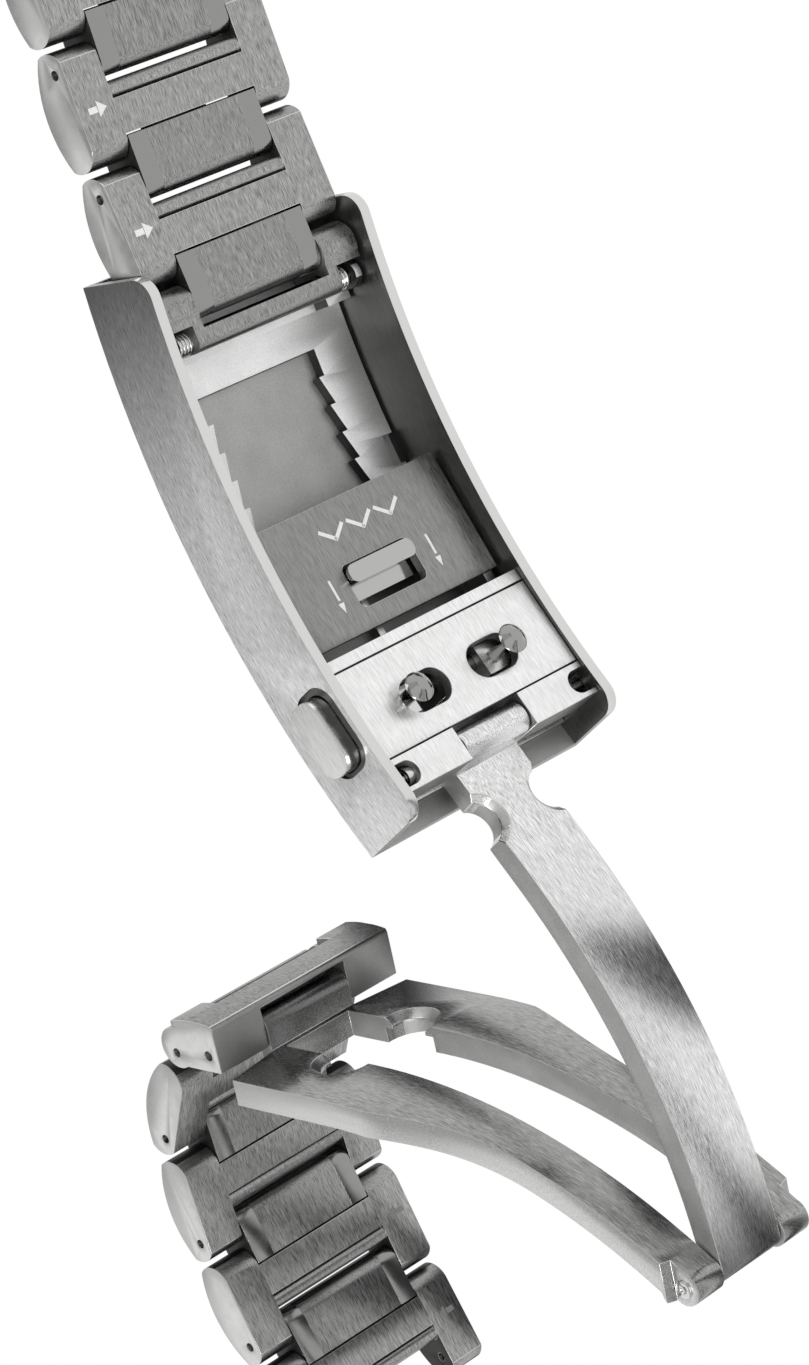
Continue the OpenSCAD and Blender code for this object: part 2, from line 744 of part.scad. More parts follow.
module fork() {
  color(steel) at(fork_xy, fork_dir) difference() {
    union() {
      intersection() {
        across(band_w) {
          difference() {
            strap(fork_r, fork_arc, fork_run + 2, fork_t);
            translate([-1, -1]) square([1 + fork_nose[0], 5]);
          }
          translate(fork_nose) circle(r = fork_nose_r);
        }
        at(fork_end, fork_arc) plan(60) fork_plan();
      }
      at(fork_end, fork_arc) {
        translate([lug_bar[0], lug_bar[1], 0]) cylinder(r = lug_r, h = lug_w, center = true);
        translate([lug_s, -lug_h, -lug_w / 2]) cube([lug_r, lug_h + fork_t, lug_w]);
        translate([fork_run - 0.1, 0, -lug_w / 2]) cube([lug_s - fork_run + 0.2, fork_t, lug_w]);
      }
    }
    at(fork_end, fork_arc) {
      translate([-60, -10, -fork_slot / 2]) cube([60 + fork_run, 60, fork_slot]);
      translate([lug_bar[0], lug_bar[1], 0]) cylinder(r = bar_hole, h = 2 * band_w, center = true);
      both_sides() translate([notch_s, 0, notch_z]) rotate([-90, 0, 0]) {
        translate([0, 0, -1]) cylinder(r = 1.7, h = fork_t + 2);
        translate([0, 0, -0.001]) cylinder(r1 = 2.35, r2 = 1.7, h = 0.55);
        translate([0, 0, 0.8]) cylinder(r = 2.45, h = fork_t);
      }
    }
    translate([fork_nose[0], fork_nose[1], 0]) cylinder(r = fork_pin_r + fit, h = 2 * band_w, center = true);
  }
}

module fork_pin() {
  color(bright) at(nose_xy, 0) {
    cylinder(r = fork_pin_r, h = fork_w1, center = true);
    both_sides() difference() {
      rod(0.65, fork_w1 / 2, fork_w1 / 2 + 0.12);
      rod(0.25, fork_w1 / 2 + 0.06, fork_w1 / 2 + 1);
    }
  }
}

// LOWER END

module lower_end_link() {
  color(steel) on_lower(low_xy, low_dir) difference() {
    across(band_w) intersection() {
      union() {
        translate([0.1, -0.4]) circle(r = cheek_r);
        translate([0.1, -low_drop]) square([low_front - 0.1, low_drop + link_top]);
      }
      union() {
        translate([-3, -low_drop]) square([3 + low_front - 0.5, 10]);
        translate([low_front - 0.5, 0.5 - low_drop]) square([0.5, 10]);
        translate([low_front - 0.5, 0.5 - low_drop]) circle(r = 0.5);
      }
      translate([low_front * 0.55, 12 - low_drop - 0.02]) circle(r = 12, $fn = 180);
    }
    translate([-4, -8, -pocket / 2]) cube([4 + tile_len - 2.7, 16, pocket]);
    translate([tile_len - 2.4, -low_drop + 0.7, -lug_w / 2 - 0.1]) cube([10, 10, lug_w + 0.2]);
    cylinder(r = pin_hole, h = 2 * band_w, center = true);
    translate([low_bar[0], low_bar[1], 0]) cylinder(r = tip_hole, h = 2 * band_w, center = true);
  }
}

module lower_bar_sleeve() {
  color(bright) on_lower(low_xy, low_dir) translate([low_bar[0], low_bar[1], 0]) difference() {
    cylinder(r = bar_r, h = lug_w, center = true);
    cylinder(r = tip_r + 0.05, h = 2 * band_w, center = true);
  }
}

module lower_bar_tips() {
  color(bright) on_lower(low_xy, low_dir) translate([low_bar[0], low_bar[1], 0]) both_sides() rod(tip_r, lug_w / 2 - 2.5, half - 0.6);
}

module lower_end_pin() {
  color(bright) on_lower(low_xy, low_dir) link_pin();
}

module whole() {
  shell();
  latch_housing();
  latch_cover();
  stud_near();
  stud_far();
  pusher_near();
  pusher_far();
  pusher_spring_near();
  pusher_spring_far();
  case_bar_sleeve();
  case_bar_tips();
  slide_cover();
  slide_button();
  pawl_near();
  pawl_far();
  pawl_spring_near();
  pawl_spring_far();
  slider();
  upper_end_link();
  upper_bar_sleeve();
  upper_bar_tips();
  upper_end_pin();
  blade();
  fork();
  fork_pin();
  lower_end_link();
  lower_bar_sleeve();
  lower_bar_tips();
  lower_end_pin();
  color(steel) on_upper(up1, up_a[0]) link_frame();  // upper1_frame
  color(dark) on_upper(up1, up_a[0]) link_tile();  // upper1_tile
  color(bright) on_upper(up1, up_a[0]) link_strips();  // upper1_strips
  color(bright) on_upper(up1, up_a[0]) link_pin();  // upper1_pin
  color(steel) on_upper(up2, up_a[1]) link_frame();  // upper2_frame
  color(dark) on_upper(up2, up_a[1]) link_tile();  // upper2_tile
  color(bright) on_upper(up2, up_a[1]) link_strips();  // upper2_strips
  color(bright) on_upper(up2, up_a[1]) link_pin();  // upper2_pin
  color(steel) on_upper(up3, up_a[2]) link_frame();  // upper3_frame
  color(dark) on_upper(up3, up_a[2]) link_tile();  // upper3_tile
  color(bright) on_upper(up3, up_a[2]) link_strips();  // upper3_strips
  color(steel) on_lower(low1, low_a[0]) link_frame();  // lower1_frame
  color(dark) on_lower(low1, low_a[0]) link_tile();  // lower1_tile
  color(bright) on_lower(low1, low_a[0]) link_strips();  // lower1_strips
  color(bright) on_lower(low1, low_a[0]) link_pin();  // lower1_pin
  color(steel) on_lower(low2, low_a[1]) link_frame();  // lower2_frame
  color(dark) on_lower(low2, low_a[1]) link_tile();  // lower2_tile
  color(bright) on_lower(low2, low_a[1]) link_strips();  // lower2_strips
  color(bright) on_lower(low2, low_a[1]) link_pin();  // lower2_pin
  color(steel) on_lower(low3, low_a[2]) link_frame();  // lower3_frame
  color(dark) on_lower(low3, low_a[2]) link_tile();  // lower3_tile
  color(bright) on_lower(low3, low_a[2]) link_strips();  // lower3_strips
  color(bright) on_lower(low3, low_a[2]) link_pin();  // lower3_pin
  color(steel) on_lower(low4, low_a[3]) link_frame();  // lower4_frame
  color(dark) on_lower(low4, low_a[3]) link_tile();  // lower4_tile
  color(bright) on_lower(low4, low_a[3]) link_strips();  // lower4_strips
}

translate(-origin) whole();
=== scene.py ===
"""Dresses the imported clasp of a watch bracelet: edges, steel finishes, marks, studio and camera."""
import json
import math
import bpy
from mathutils import Matrix, Vector
from mathutils.bvhtree import BVHTree


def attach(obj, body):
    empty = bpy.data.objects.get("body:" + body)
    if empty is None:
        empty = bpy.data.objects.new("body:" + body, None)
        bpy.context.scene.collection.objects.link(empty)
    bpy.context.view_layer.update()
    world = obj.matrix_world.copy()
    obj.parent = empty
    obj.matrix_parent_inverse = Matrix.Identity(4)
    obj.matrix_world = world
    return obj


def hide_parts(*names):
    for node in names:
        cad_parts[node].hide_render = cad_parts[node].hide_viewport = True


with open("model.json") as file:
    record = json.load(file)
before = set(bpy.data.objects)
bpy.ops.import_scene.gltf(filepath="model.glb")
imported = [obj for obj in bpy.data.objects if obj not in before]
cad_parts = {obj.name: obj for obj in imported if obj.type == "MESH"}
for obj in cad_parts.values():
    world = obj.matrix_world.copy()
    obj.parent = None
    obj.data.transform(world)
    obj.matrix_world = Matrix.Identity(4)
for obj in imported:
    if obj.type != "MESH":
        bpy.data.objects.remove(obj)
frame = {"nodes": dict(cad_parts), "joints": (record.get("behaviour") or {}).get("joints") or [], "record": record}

bl_info = {
    "name": "Bracelet clasp",
    "version": (1, 0, 0),
    "blender": (4, 5, 0),
    "location": "View3D > Sidebar > Clasp",
    "description": "Finishes the parts of a fold-over bracelet clasp and sets up its studio",
    "category": "Object",
}

MM = 0.001
NODES = frame["nodes"]
RECORD = frame["record"]
BODY_OF = {node: body for body, members in RECORD["behaviour"]["bodies"].items() for node in members}
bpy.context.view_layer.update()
JOINT = {joint["name"]: joint for joint in frame["joints"]}

# Places in the frame, in metres
MIDDLE = 0.0109
CASE_CENTRE = JOINT["slider_travel"]["pos_m"][:2]
BLADE_CENTRE = (0.0313728, -0.0264758)
FORK_CENTRE = (0.0734702, -0.0216956)

# Slopes of the straight pieces in the side view, in degrees
LATCH_SLOPE = 11.3
SLIDE_SLOPE = 4.8
UPPER_SLOPES = {"upper1": -6.5, "upper2": -11.3, "upper3": -14.0}
LOWER_SLOPES = {"lower1": 131.2, "lower2": 165.0, "lower3": 177.7, "lower4": 181.0}
UPPER_END_SLOPE = -8.0
LOWER_END_SLOPE = 67.6

# Camera: its place, and its right, down and forward directions
CAMERA_AT = (0.0004227, 0.2352104, 0.18919)
CAMERA_RIGHT = (0.451967, 0.566195, -0.689311)
CAMERA_DOWN = (0.891981, -0.278372, 0.3562)
CAMERA_FORWARD = (0.009794, -0.775843, -0.63085)
CAMERA_LENS = 110.769

# Spring bars: their radius, and the ribs at the shoulders of the upper one, in millimetres
BAR_RADIUS = 0.72
RIB_RADIUS = 0.11
BAR_RIBS = (6.88, 7.18, 7.48, 7.78)

# Dark card: the radians a metre of its bands, which way they run, and where they and the card start
CARD_BANDS = 268.0
CARD_TURN = -20.0
CARD_SHIFT = -2.03
CARD_FADE_IN = (0.009, 0.016)

# Distances from the middle of the clasp, and from the centre of the case's curve, in millimetres
WALL_OUTSIDE = 9.9
FLOOR_EDGE = 9.25
FLOOR_TOP = 73.7
WALL_FOOT = 73.0
CHEEK_INSIDE = 8.9
FORK_INSIDE = 4.5

# Marks, in millimetres: how thick they are, and how far they start above the steel
MARK_THICKNESS = 0.012
MARK_LIFT = 0.004


def linear(code):
    """A colour that is written as sRGB hex, as linear red, green, blue and alpha."""
    parts = [int(code[i:i + 2], 16) / 255 for i in (0, 2, 4)]
    return [c / 12.92 if c <= 0.04045 else ((c + 0.055) / 1.055) ** 2.4 for c in parts] + [1.0]


def add(tree, kind, inputs=None, **settings):
    """A node with its settings, its values and its links."""
    node = tree.nodes.new(kind)
    for name, value in settings.items():
        setattr(node, name, value)
    for name, value in (inputs or {}).items():
        if isinstance(value, bpy.types.NodeSocket):
            tree.links.new(value, node.inputs[name])
        else:
            node.inputs[name].default_value = value
    return node


# FINISHES

# Width of the grit that glass beads leave in steel, drawn as coarse as it needs to show
GRIT_MM = 0.07


def grain_frame(tree, grain):
    """Object coordinates in millimetres, as along, across and through the grain, and the way along it."""
    place = add(tree, "ShaderNodeTexCoord").outputs["Object"]
    kind = grain[0]
    if kind == "line":
        slope = math.radians(grain[1])
        turned = add(tree, "ShaderNodeMapping", {"Vector": place, "Rotation": (0, 0, -slope), "Scale": (1 / MM,) * 3})
        way = add(tree, "ShaderNodeCombineXYZ", {"X": math.cos(slope), "Y": math.sin(slope)})
        return turned.outputs[0], way.outputs[0]
    centre = grain[1]
    moved = add(tree, "ShaderNodeMapping", {
        "Vector": place, "Location": (-centre[0] / MM, -centre[1] / MM, 0), "Scale": (1 / MM,) * 3})
    axis = add(tree, "ShaderNodeSeparateXYZ", {"Vector": moved.outputs[0]})
    flat = add(tree, "ShaderNodeCombineXYZ", {"X": axis.outputs["X"], "Y": axis.outputs["Y"]})
    radius = add(tree, "ShaderNodeVectorMath", {0: flat.outputs[0]}, operation="LENGTH")
    turn = add(tree, "ShaderNodeMath", {0: axis.outputs["X"], 1: axis.outputs["Y"]}, operation="ARCTAN2")
    along = add(tree, "ShaderNodeMath", {0: turn.outputs[0], 1: grain[2]}, operation="MULTIPLY")
    height = axis.outputs["Z"]
    way = add(tree, "ShaderNodeVectorMath", {0: flat.outputs[0], 1: (0, 0, 1)}, operation="CROSS_PRODUCT")
    around = add(tree, "ShaderNodeCombineXYZ", {
        "X": along.outputs[0], "Y": radius.outputs["Value"], "Z": height})
    if kind == "arc":
        return around.outputs[0], way.outputs[0]
    crossed = add(tree, "ShaderNodeCombineXYZ", {
        "X": height, "Y": along.outputs[0], "Z": radius.outputs["Value"]})
    return crossed.outputs[0], add(tree, "ShaderNodeCombineXYZ", {"Z": 1.0}).outputs[0]


def new_material(name):
    """An empty node material, and its tree."""
    material = bpy.data.materials.new(name)
    material.use_nodes = True
    material.node_tree.nodes.clear()
    return material, material.node_tree


def brushed(name, grain, colour, roughness=0.3, line_mm=0.06, length_mm=0.9, depth=0.3, contrast=1.0, painted_shade_fade=None):
    """Stainless steel, brushed with a belt: fine straight lines that smear reflections across themselves.
    The lines are drawn a little wider than real ones so that they show in the render. A fade paints shade into the
    colour along x:
    where it starts and ends, in millimetres, and what share of the brightness is left at its start."""
    if name in bpy.data.materials:
        return bpy.data.materials[name]
    material, tree = new_material(name)
    place, way = grain_frame(tree, grain)
    fine = add(tree, "ShaderNodeMapping", {"Vector": place, "Scale": (1 / length_mm, 1 / line_mm, 1 / line_mm)})
    lines = add(tree, "ShaderNodeTexNoise", {"Vector": fine.outputs[0], "Scale": 1.0, "Detail": 2.0, "Roughness": 0.6})
    broad = add(tree, "ShaderNodeMapping", {
        "Vector": place, "Scale": (0.2 / length_mm, 0.5 / line_mm, 0.5 / line_mm)})
    bands = add(tree, "ShaderNodeTexNoise", {"Vector": broad.outputs[0], "Scale": 1.0, "Detail": 2.0, "Roughness": 0.5})
    both = add(tree, "ShaderNodeMix", {"Factor": 0.15, "A": lines.outputs["Fac"], "B": bands.outputs["Fac"]})
    steel = linear(colour)
    tint = add(tree, "ShaderNodeValToRGB", {"Fac": both.outputs[0]})
    tint.color_ramp.elements[0].position = 0.36
    tint.color_ramp.elements[1].position = 0.64
    tint.color_ramp.elements[0].color = [c * (1 - 0.32 * contrast) for c in steel[:3]] + [1]
    tint.color_ramp.elements[1].color = [min(1, c * (1 + 0.22 * contrast)) for c in steel[:3]] + [1]
    colours = tint.outputs[0]
    if painted_shade_fade:
        # Painted shade: the colour darkens towards one end along x, standing in for the darker reflections there
        along = add(tree, "ShaderNodeSeparateXYZ", {"Vector": add(tree, "ShaderNodeTexCoord").outputs["Object"]})
        share = add(tree, "ShaderNodeMapRange", {
            "Value": along.outputs["X"], "From Min": painted_shade_fade[0] * MM, "From Max": painted_shade_fade[1] * MM,
            "To Min": painted_shade_fade[2], "To Max": 1.0}, interpolation_type="SMOOTHSTEP")
        scaled = add(tree, "ShaderNodeVectorMath", {0: colours, "Scale": share.outputs[0]}, operation="SCALE")
        colours = scaled.outputs[0]
    rough = add(tree, "ShaderNodeMapRange", {
        "Value": lines.outputs["Fac"], "From Min": 0.3, "From Max": 0.7,
        "To Min": roughness - 0.06, "To Max": roughness + 0.08})
    bump = add(tree, "ShaderNodeBump", {"Height": both.outputs[0], "Strength": depth, "Distance": 0.02 * MM})
    normal = add(tree, "ShaderNodeNewGeometry").outputs["Normal"]
    across = add(tree, "ShaderNodeVectorMath", {0: normal, 1: way}, operation="CROSS_PRODUCT")
    shader = add(tree, "ShaderNodeBsdfPrincipled", {
        "Base Color": colours, "Metallic": 1.0, "Roughness": rough.outputs[0],
        "Anisotropic": 0.6, "Normal": bump.outputs[0], "Tangent": across.outputs[0]})
    add(tree, "ShaderNodeOutputMaterial", {"Surface": shader.outputs[0]})
    return material


def polished(name, roughness, colour="d6d6d5"):
    """Stainless steel, buffed to a mirror, with faint wiping marks."""
    if name in bpy.data.materials:
        return bpy.data.materials[name]
    material, tree = new_material(name)
    place = add(tree, "ShaderNodeTexCoord").outputs["Object"]
    wipes = add(tree, "ShaderNodeTexNoise", {"Vector": place, "Scale": 0.8 / MM, "Detail": 3.0, "Roughness": 0.6})
    rough = add(tree, "ShaderNodeMapRange", {
        "Value": wipes.outputs["Fac"], "From Min": 0.3, "From Max": 0.7,
        "To Min": roughness * 0.7, "To Max": roughness * 1.4})
    shader = add(tree, "ShaderNodeBsdfPrincipled", {
        "Base Color": linear(colour), "Metallic": 1.0, "Roughness": rough.outputs[0]})
    add(tree, "ShaderNodeOutputMaterial", {"Surface": shader.outputs[0]})
    return material


def blasted(name, colour, depth=0.6):
    """Stainless steel, blasted with glass beads: a soft even sparkle with no direction."""
    if name in bpy.data.materials:
        return bpy.data.materials[name]
    material, tree = new_material(name)
    place = add(tree, "ShaderNodeTexCoord").outputs["Object"]
    grit = add(tree, "ShaderNodeTexNoise", {
        "Vector": place, "Scale": 1 / (GRIT_MM * MM), "Detail": 2.0, "Roughness": 0.7})
    cloud = add(tree, "ShaderNodeTexNoise", {"Vector": place, "Scale": 0.35 / MM, "Detail": 2.0})
    both = add(tree, "ShaderNodeMix", {"Factor": 0.3, "A": grit.outputs["Fac"], "B": cloud.outputs["Fac"]})
    steel = linear(colour)
    tint = add(tree, "ShaderNodeValToRGB", {"Fac": both.outputs[0]})
    tint.color_ramp.elements[0].position = 0.3
    tint.color_ramp.elements[1].position = 0.7
    tint.color_ramp.elements[0].color = [c * 0.7 for c in steel[:3]] + [1]
    tint.color_ramp.elements[1].color = [min(1, c * 1.2) for c in steel[:3]] + [1]
    bump = add(tree, "ShaderNodeBump", {"Height": grit.outputs["Fac"], "Strength": depth, "Distance": 0.02 * MM})
    shader = add(tree, "ShaderNodeBsdfPrincipled", {
        "Base Color": tint.outputs[0], "Metallic": 1.0, "Roughness": 0.5, "Normal": bump.outputs[0]})
    add(tree, "ShaderNodeOutputMaterial", {"Surface": shader.outputs[0]})
    return material


def etched(name, colour):
    """A mark that a laser left in the steel: matt, with a fine grit of its own."""
    if name in bpy.data.materials:
        return bpy.data.materials[name]
    material, tree = new_material(name)
    place = add(tree, "ShaderNodeTexCoord").outputs["Object"]
    grit = add(tree, "ShaderNodeTexNoise", {"Vector": place, "Scale": 18 / MM, "Detail": 2.0})
    steel = linear(colour)
    tint = add(tree, "ShaderNodeValToRGB", {"Fac": grit.outputs["Fac"]})
    tint.color_ramp.elements[0].color = [c * 0.85 for c in steel[:3]] + [1]
    tint.color_ramp.elements[1].color = steel
    shader = add(tree, "ShaderNodeBsdfPrincipled", {
        "Base Color": tint.outputs[0], "Metallic": 0.4, "Roughness": 0.62})
    add(tree, "ShaderNodeOutputMaterial", {"Surface": shader.outputs[0]})
    return material


CASE_GRAIN = ("arc", CASE_CENTRE, 74.0)


def line_grain(angle, part, colour):
    """The brushed steel of a link, with its grain along the link's slope in degrees."""
    name = "belt_brushed_%s_steel_%s" % (part, str(angle).replace("-", "m").replace(".", "_"))
    return brushed(name, ("line", angle), colour, line_mm=0.045, length_mm=0.7, contrast=1.7)


# PIECES

def select_only(piece):
    """Makes a piece the only selected object, and the active one."""
    bpy.ops.object.select_all(action="DESELECT")
    piece.select_set(True)
    bpy.context.view_layer.objects.active = piece


def finished(node, edge_mm, choose, materials, edge_slot=None, segments=2, sharp=32):
    """Copies a node's mesh, cleans it, rounds its sharp edges and gives each face the finish that choose names.
    Edges sharper than the angle sharp, in degrees, are rounded, with the finish in edge_slot."""
    source = NODES[node]
    mesh = source.data.copy()
    mesh.materials.clear()
    for material in materials:
        mesh.materials.append(material)
    piece = bpy.data.objects.new(node + "_finished", mesh)
    bpy.context.scene.collection.objects.link(piece)
    # Blender's own tolerances suit a mesh that is a thousand times larger
    mesh.transform(Matrix.Scale(1 / MM, 4))
    select_only(piece)
    bpy.ops.object.mode_set(mode="EDIT")
    bpy.ops.mesh.select_all(action="SELECT")
    bpy.ops.mesh.remove_doubles(threshold=0.0005)
    bpy.ops.mesh.dissolve_limited(angle_limit=math.radians(0.4))
    bpy.ops.mesh.normals_make_consistent(inside=False)
    bpy.ops.object.mode_set(mode="OBJECT")
    for face in mesh.polygons:
        face.material_index = choose(face.center * MM, face.normal)
    if edge_mm:
        bevel = piece.modifiers.new("edges", "BEVEL")
        bevel.width = edge_mm
        bevel.segments = segments
        bevel.limit_method = "ANGLE"
        bevel.angle_limit = math.radians(sharp)
        bevel.use_clamp_overlap = True
        bevel.miter_outer = "MITER_ARC"
        if edge_slot is not None:
            bevel.material = edge_slot
        bpy.ops.object.modifier_apply(modifier=bevel.name)
    bpy.ops.object.shade_smooth_by_angle(angle=math.radians(sharp))
    mesh.transform(Matrix.Scale(MM, 4))
    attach(piece, BODY_OF[node])
    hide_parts(node)
    return piece


def one_finish(place, normal):
    """The first finish, for every face."""
    return 0


def radial(place):
    """Distance from the case's centre in the side view, in millimetres."""
    return math.hypot(place.x - CASE_CENTRE[0], place.y - CASE_CENTRE[1]) / MM


def plate_faces(place, normal):
    """The wrist side of a plate is brushed, and the rest is dull."""
    return 0 if normal.y > 0.8 else 1


def button_faces(place, normal):
    """The outer face of a side button is brushed, and the rest is buffed."""
    return 0 if abs(normal.z) > 0.8 else 1


def rack_faces(place, normal):
    """The wrist side of the slider is pale, and its cut edges are painted dark as the shade on the sides of its teeth.
    """
    return 0 if abs(normal.z) < 0.5 and abs(normal.x) < 0.5 else 1


def blade_faces(place, normal):
    """The wide faces of the blade are brushed, and its sides are blasted."""
    return 1 if abs(normal.z) > 0.6 else 0


class ClaspSizes(bpy.types.PropertyGroup):
    case_edge: bpy.props.FloatProperty(
        name="Case edge", description="Width of the case's broken edges, in millimetres",
        default=0.16, min=0, max=0.4)
    plate_edge: bpy.props.FloatProperty(
        name="Plate edge", description="Width of the edges of the latch and slide plates, in millimetres",
        default=0.1, min=0, max=0.3)
    arm_edge: bpy.props.FloatProperty(
        name="Arm edge", description="Width of the edges of the blade and fork, in millimetres",
        default=0.16, min=0, max=0.3)
    link_edge: bpy.props.FloatProperty(
        name="Link edge", description="Width of the edges of the links, in millimetres",
        default=0.14, min=0, max=0.3)
    button_edge: bpy.props.FloatProperty(
        name="Button edge", description="Width of the round edges of the side buttons, in millimetres",
        default=0.3, min=0, max=0.5)


class ClaspColours(bpy.types.PropertyGroup):
    paper: bpy.props.FloatVectorProperty(
        name="Paper", description="Colour of the floor and backdrop",
        subtype="COLOR", default=linear("ffffff")[:3], min=0, max=1)


class CLASP_OT_case(bpy.types.Operator):
    """Finishes the case"""
    bl_idname = "clasp.case"
    bl_label = "Case"

    def execute(self, context):
        sizes = context.scene.clasp_sizes
        # Painted shade: the outer wall's colour darkens towards its end at x = -34 mm
        outside = brushed("belt_brushed_case_steel", CASE_GRAIN, "fcfcfb", contrast=1.6, painted_shade_fade=(-34, -10, 0.14))
        # Painted shade: the inner faces of the side walls are coloured dark, as the shade inside the case
        inside = brushed("satin_inner_wall_steel", CASE_GRAIN, "686867", roughness=0.36, depth=0.15, contrast=0.5)
        floor = blasted("bead_blasted_floor_steel", colour="b4b4b3")
        rim = polished("buffed_rim_steel", roughness=0.22)

        def choose(place, normal):
            wide = abs(place.z - MIDDLE) / MM
            if abs(normal.z) > 0.7:
                return 0 if wide > WALL_OUTSIDE else 1
            if wide < FLOOR_EDGE:
                return 2 if radial(place) < FLOOR_TOP else 0
            return 3 if normal.y > 0 or radial(place) < WALL_FOOT else 0

        finished("shell", sizes.case_edge, choose, [outside, inside, floor, rim], edge_slot=3, segments=3)
        return {"FINISHED"}


class CLASP_OT_latch(bpy.types.Operator):
    """Finishes the latch: its block, cover, studs, side buttons and springs"""
    bl_idname = "clasp.latch"
    bl_label = "Latch"

    def execute(self, context):
        sizes = context.scene.clasp_sizes
        plate = brushed("belt_brushed_latch_steel", ("line", LATCH_SLOPE), "f4f4f3", roughness=0.34, contrast=0.6)
        dull = blasted("bead_blasted_block_steel", colour="8c8c8b")
        bright = polished("buffed_stud_steel", colour="9c9c9b", roughness=0.07)
        edge = polished("buffed_rim_steel", roughness=0.22)
        for node in ("latch_housing", "latch_cover"):
            finished(node, sizes.plate_edge * 0.6, plate_faces, [plate, dull, edge], edge_slot=2)
        for node in ("stud_near", "stud_far"):
            finished(node, 0.04, one_finish, [bright])
        face = brushed("belt_brushed_button_steel", CASE_GRAIN, "ececeb", roughness=0.34, contrast=0.6)
        for node in ("pusher_near", "pusher_far"):
            finished(node, sizes.button_edge, button_faces, [face, edge], edge_slot=1, segments=4)
        coil = polished("spring_steel", colour="8a8a88", roughness=0.25)
        for node in ("pusher_spring_near", "pusher_spring_far"):
            finished(node, 0.03, one_finish, [coil])
        return {"FINISHED"}


class CLASP_OT_slide(bpy.types.Operator):
    """Finishes the fine adjustment: its cover, button, pawls and toothed slider"""
    bl_idname = "clasp.slide"
    bl_label = "Fine adjustment"

    def execute(self, context):
        sizes = context.scene.clasp_sizes
        plate = brushed("belt_brushed_cover_steel", ("line", SLIDE_SLOPE), "929291", contrast=0.8)
        edge = polished("buffed_rim_steel", roughness=0.22)
        dull = blasted("bead_blasted_block_steel", colour="8c8c8b")
        finished("slide_cover", sizes.plate_edge * 1.6, plate_faces, [plate, dull, edge], edge_slot=2, segments=3)
        bright = polished("buffed_button_steel", colour="b6b6b5", roughness=0.14)
        finished("slide_button", 0.35, one_finish, [bright], segments=5)
        rack = blasted("bead_blasted_slider_steel", colour="fafaf9", depth=0.35)
        # Painted shade: the cut edges and the sides of the teeth are coloured dark
        cut = blasted("cut_slider_edge_steel", colour="4c4c4b")
        finished("slider", 0.05, rack_faces, [rack, cut])
        hidden = polished("spring_steel", colour="8a8a88", roughness=0.25)
        for node in ("pawl_near", "pawl_far", "pawl_spring_near", "pawl_spring_far"):
            finished(node, 0.04, one_finish, [hidden])
        return {"FINISHED"}


class CLASP_OT_arms(bpy.types.Operator):
    """Finishes the blade, the fork and the pin between them"""
    bl_idname = "clasp.arms"
    bl_label = "Blade and fork"

    def execute(self, context):
        sizes = context.scene.clasp_sizes
        edge = polished("buffed_rim_steel", roughness=0.22)
        # Painted shade: the blade's colour darkens from x = 40 mm towards its end beyond x = 49 mm
        blade = brushed("belt_brushed_blade_steel", ("arc", BLADE_CENTRE, 50.5), "ececeb",
                        roughness=0.27, contrast=1.3, painted_shade_fade=(49, 40, 0.22))
        side = blasted("bead_blasted_side_steel", colour="bcbcbb")
        finished("blade", sizes.arm_edge, blade_faces, [blade, side, edge], edge_slot=2)
        # Painted shade: the fork's colour darkens from x = 27 mm towards its end below x = 17 mm
        fork = brushed("belt_brushed_fork_steel", ("arc", FORK_CENTRE, 51.0), "a2a2a1",
                       roughness=0.22, contrast=1.5, painted_shade_fade=(17, 27, 0.25))
        flank = brushed("cross_brushed_fork_steel", ("cross", FORK_CENTRE, 51.0), "dcdcdb",
                        roughness=0.34, contrast=0.8)

        def choose(place, normal):
            wide = (place.z - MIDDLE) / MM
            if abs(normal.z) > 0.5:
                return 1 if abs(wide) > FORK_INSIDE and normal.z * wide > 0 else 3
            return 0

        finished("fork", sizes.arm_edge, choose, [fork, flank, edge, side], edge_slot=2)
        finished("fork_pin", 0.05, one_finish, [polished("buffed_pin_steel", roughness=0.12)])
        return {"FINISHED"}


def ribs(name, node, heights, finish):
    """Turned ribs round a spring bar's sleeve, at heights in millimetres from the middle of the clasp."""
    places = [vertex.co for vertex in NODES[node].data.vertices]
    middle = [(min(place[i] for place in places) + max(place[i] for place in places)) / 2 for i in (0, 1)]
    rings = []
    for height in heights:
        bpy.ops.mesh.primitive_torus_add(
            major_radius=BAR_RADIUS, minor_radius=RIB_RADIUS, major_segments=40, minor_segments=10)
        ring = bpy.context.active_object
        ring.data.transform(Matrix.Translation((middle[0], middle[1], MIDDLE + height * MM)) @ Matrix.Scale(MM, 4))
        ring.data.materials.append(finish)
        bpy.ops.object.shade_smooth()
        rings.append(ring)
    for ring in rings:
        ring.select_set(True)
    bpy.ops.object.join()
    piece = bpy.context.active_object
    piece.name = name
    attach(piece, BODY_OF[node])


class CLASP_OT_bars(bpy.types.Operator):
    """Finishes the spring bars and the link pins"""
    bl_idname = "clasp.bars"
    bl_label = "Bars and pins"

    def execute(self, context):
        bright = polished("buffed_pin_steel", roughness=0.12)
        names = [n for n in NODES if n.endswith(("_sleeve", "_tips")) or (n.endswith("_pin") and n != "fork_pin")]
        for node in sorted(names):
            finished(node, 0.05, one_finish, [bright])
        for side, name in ((-1, "far"), (1, "near")):
            ribs("upper_bar_ribs_" + name, "upper_bar_sleeve", [side * z for z in BAR_RIBS], bright)
        return {"FINISHED"}


def link_faces(slope):
    """Finishes of a link with this slope in degrees: flat cheeks are buffed, what faces the wrist or the outside
    is brushed, and the faces in the joints between the pieces are painted dark as the shade that falls between them."""
    turn = math.radians(slope)
    up = Vector((-math.sin(turn), math.cos(turn), 0))

    def choose(place, normal):
        outside = abs(place.z - MIDDLE) / MM > CHEEK_INSIDE
        if abs(normal.z) > 0.7:
            # Slot 3 holds the dark colour that paints the shade in the joints
            return 1 if outside else 3
        return 0 if outside or abs(normal.dot(up)) > 0.45 else 3

    return choose


